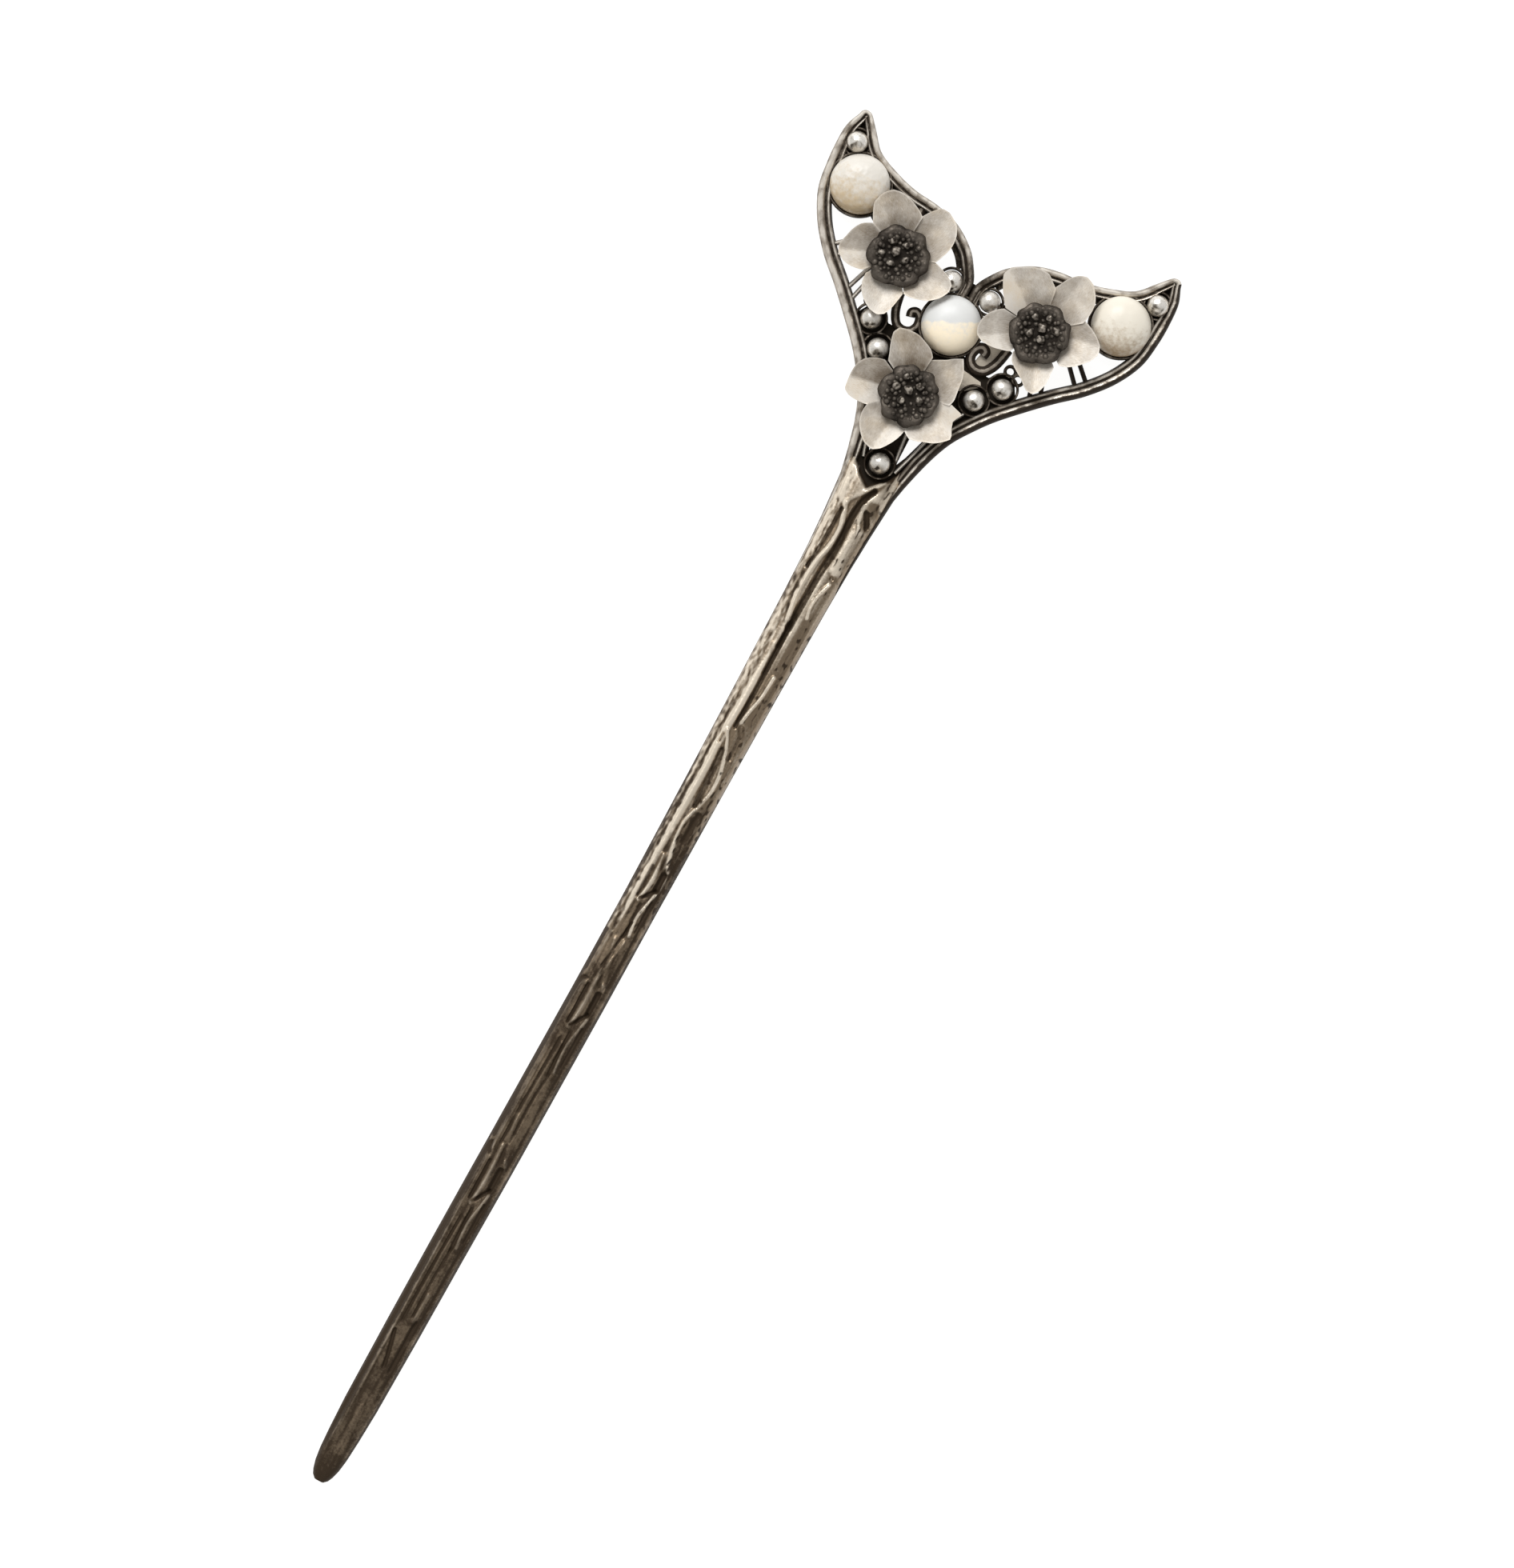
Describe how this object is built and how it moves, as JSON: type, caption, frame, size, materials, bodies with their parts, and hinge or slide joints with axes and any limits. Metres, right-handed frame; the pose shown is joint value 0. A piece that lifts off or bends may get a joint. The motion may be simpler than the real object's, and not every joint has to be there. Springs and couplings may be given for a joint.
{
  "type": "hair stick",
  "caption": "Straight hair stick with a flat back, a shaft with raised scrolling relief, and an openwork fishtail head set with metal flowers, cast beads and round stones.",
  "frame": {"origin": "in the plane of the flat back, at the middle of the length and on the tail's middle line", "axes": "+X across the tail, +Y from the pointed end to the tips of the tail, +Z out of the decorated face"},
  "size_m": [0.044, 0.1694, 0.0052],
  "materials": {
    "cast_silver": "antiqued silver plate, satin on the raised parts and dark brown in the hollows",
    "petal_silver": "pale satin silver, finely brushed along each petal",
    "blackened_metal": "blackened and granulated, worn bright on the tops of the grains",
    "cream_stone": "cream stone with a soft gloss, slightly rough and pitted"
  },
  "bodies": {
    "root": {"cast_pin": "cast_silver", "flower_left": "petal_silver", "flower_right": "petal_silver", "flower_low": "petal_silver", "stamen_left": "blackened_metal", "stamen_right": "blackened_metal", "stamen_low": "blackened_metal", "stone_left": "cream_stone", "stone_right": "cream_stone", "stone_centre": "cream_stone"}
  },
  "joints": []
}
